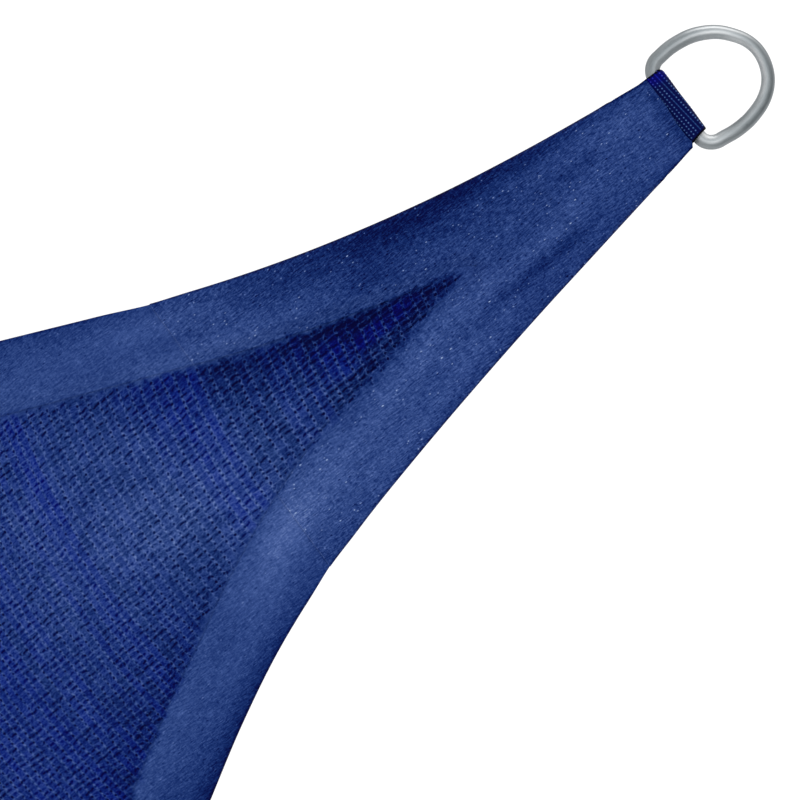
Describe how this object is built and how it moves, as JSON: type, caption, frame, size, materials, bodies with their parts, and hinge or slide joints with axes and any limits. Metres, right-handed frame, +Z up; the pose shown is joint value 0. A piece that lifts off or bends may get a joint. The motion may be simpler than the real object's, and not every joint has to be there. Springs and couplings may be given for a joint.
{
  "type": "shade sail",
  "caption": "Triangular knitted shade sail with a folded hem and concave edges, hung on a slope by a webbing loop and a steel D-ring at each reinforced corner.",
  "frame": {"origin": "where the highest corner's ring hangs: the inside of the bow of ring_a, in the middle of the wire's width", "axes": "+Z up, +Y the way the sail's plane rises, +X level across the slope, so ring_a is at the right end seen from the front"},
  "size_m": [1.9837, 1.5535, 1.0891],
  "materials": {
    "knit": "navy knitted shade cloth with dark gaps between its light threads",
    "dense_cloth": "smooth dense navy cloth with a fine slanting grain and light specks",
    "webbing": "ribbed dark blue woven strap with pale stitches",
    "ring_steel": "satin steel wire"
  },
  "bodies": {
    "root": {"canopy": "knit", "patch_a": "dense_cloth", "patch_b": "dense_cloth", "patch_c": "dense_cloth", "webbing_a": "webbing", "webbing_b": "webbing", "webbing_c": "webbing", "ring_a": "ring_steel", "ring_b": "ring_steel", "ring_c": "ring_steel"}
  },
  "joints": []
}
